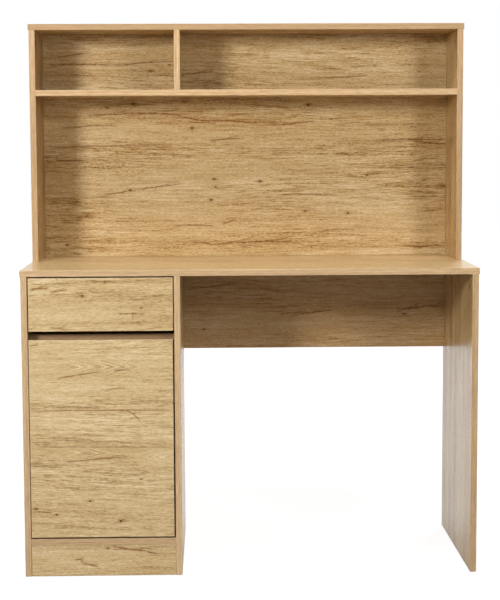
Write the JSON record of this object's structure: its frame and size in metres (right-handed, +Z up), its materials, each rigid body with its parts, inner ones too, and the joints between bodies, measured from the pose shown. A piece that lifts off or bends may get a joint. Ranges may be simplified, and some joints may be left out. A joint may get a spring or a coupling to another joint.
{
  "type": "desk with hutch",
  "caption": "Student desk with a rear hutch of open bays, a left cupboard with a drawer on roller runners above an inset door, and an open knee space.",
  "frame": {"origin": "on the floor, under the middle of the desk top", "axes": "+Z up, the front faces -Y, +X to the right seen from the front"},
  "size_m": [1.1, 0.48, 1.346],
  "materials": {
    "oak_boards": "satin oak-grain melamine, grain along the board",
    "oak_uprights": "satin oak-grain melamine, grain upright",
    "oak_fronts": "satin oak-grain melamine, grain across",
    "thin_panels": "printed hardboard",
    "drawer_box": "foil-wrapped particle board",
    "runner_steel": "white powder coat",
    "roller_nylon": "moulded nylon",
    "nickel_steel": "nickel-plated",
    "moulded_plastic": "moulded",
    "zinc_fittings": "zinc die-cast"
  },
  "bodies": {
    "desk": {"desk_top": "oak_boards", "left_side_panel": "oak_uprights", "cabinet_right_panel": "oak_uprights", "right_leg_panel": "oak_uprights", "modesty_panel": "oak_boards", "cabinet_bottom": "oak_boards", "kick_plate": "oak_boards", "cabinet_back": "thin_panels", "drawer_shelf": "oak_boards", "cupboard_shelf": "oak_boards", "hutch_left_side": "oak_uprights", "hutch_right_side": "oak_uprights", "hutch_top": "oak_boards", "hutch_shelf": "oak_boards", "hutch_divider": "oak_uprights", "hutch_back_panel": "oak_boards", "desk_cams": "zinc_fittings", "desk_cam_bolts": "zinc_fittings", "hutch_cams": "zinc_fittings", "hutch_cam_bolts": "zinc_fittings", "floor_glides": "moulded_plastic", "shelf_pins": "zinc_fittings", "left_cabinet_runner": "runner_steel", "right_cabinet_runner": "runner_steel", "door_stop": "moulded_plastic", "upper_hinge_arm": "nickel_steel", "lower_hinge_arm": "nickel_steel", "upper_hinge_base_plate": "nickel_steel", "lower_hinge_base_plate": "nickel_steel", "hinge_base_screws": "nickel_steel"},
    "drawer": {"drawer_front": "oak_fronts", "drawer_left_side": "drawer_box", "drawer_right_side": "drawer_box", "drawer_back": "drawer_box", "drawer_bottom": "thin_panels", "left_drawer_runner": "runner_steel", "right_drawer_runner": "runner_steel", "drawer_cam_bolts": "zinc_fittings", "drawer_cams": "zinc_fittings", "drawer_screws": "zinc_fittings"},
    "door": {"door_panel": "oak_fronts", "upper_hinge_cup": "nickel_steel", "lower_hinge_cup": "nickel_steel", "hinge_cup_screws": "nickel_steel"},
    "upper_link": {"upper_hinge_link": "nickel_steel"},
    "lower_link": {"lower_hinge_link": "nickel_steel"},
    "left_front_roller": {"left_front_roller": "roller_nylon"},
    "right_front_roller": {"right_front_roller": "roller_nylon"},
    "left_rear_roller": {"left_rear_roller": "roller_nylon"},
    "right_rear_roller": {"right_rear_roller": "roller_nylon"}
  },
  "joints": [
    {"name": "drawer_slide", "type": "slide", "parent": "desk", "child": "drawer", "axis": [0, -1, 0], "range_m": [0, 0.29]},
    {"name": "door_hinge", "type": "hinge", "parent": "desk", "child": "door", "pos_m": [-0.529, -0.24, 0.34], "axis": [0, 0, -1], "range_deg": [0, 95]},
    {"name": "upper_link_turn", "type": "hinge", "parent": "door", "child": "upper_link", "pos_m": [-0.5225, -0.2265, 0.49], "axis": [0, 0, 1], "range_deg": [0, 164.5]},
    {"name": "lower_link_turn", "type": "hinge", "parent": "door", "child": "lower_link", "pos_m": [-0.5225, -0.2265, 0.189], "axis": [0, 0, 1], "range_deg": [0, 164.5]},
    {"name": "left_front_roller_spin", "type": "hinge", "parent": "desk", "child": "left_front_roller", "pos_m": [-0.52675, -0.208, 0.6168], "axis": [1, 0, 0], "range_deg": [0, 1665]},
    {"name": "left_rear_roller_spin", "type": "hinge", "parent": "drawer", "child": "left_rear_roller", "pos_m": [-0.52675, 0.162, 0.6163], "axis": [1, 0, 0], "range_deg": [0, 1665]},
    {"name": "right_front_roller_spin", "type": "hinge", "parent": "desk", "child": "right_front_roller", "pos_m": [-0.18925, -0.208, 0.6168], "axis": [1, 0, 0], "range_deg": [0, 1665]},
    {"name": "right_rear_roller_spin", "type": "hinge", "parent": "drawer", "child": "right_rear_roller", "pos_m": [-0.18925, 0.162, 0.6163], "axis": [1, 0, 0], "range_deg": [0, 1665]}
  ],
  "couplings": [
    {"joint": "upper_link_turn", "follows": "door_hinge", "ratio": 1.7296},
    {"joint": "lower_link_turn", "follows": "door_hinge", "ratio": 1.7296},
    {"joint": "left_front_roller_spin", "follows": "drawer_slide", "rad_per_m": 100},
    {"joint": "left_rear_roller_spin", "follows": "drawer_slide", "rad_per_m": 100},
    {"joint": "right_front_roller_spin", "follows": "drawer_slide", "rad_per_m": 100},
    {"joint": "right_rear_roller_spin", "follows": "drawer_slide", "rad_per_m": 100}
  ]
}
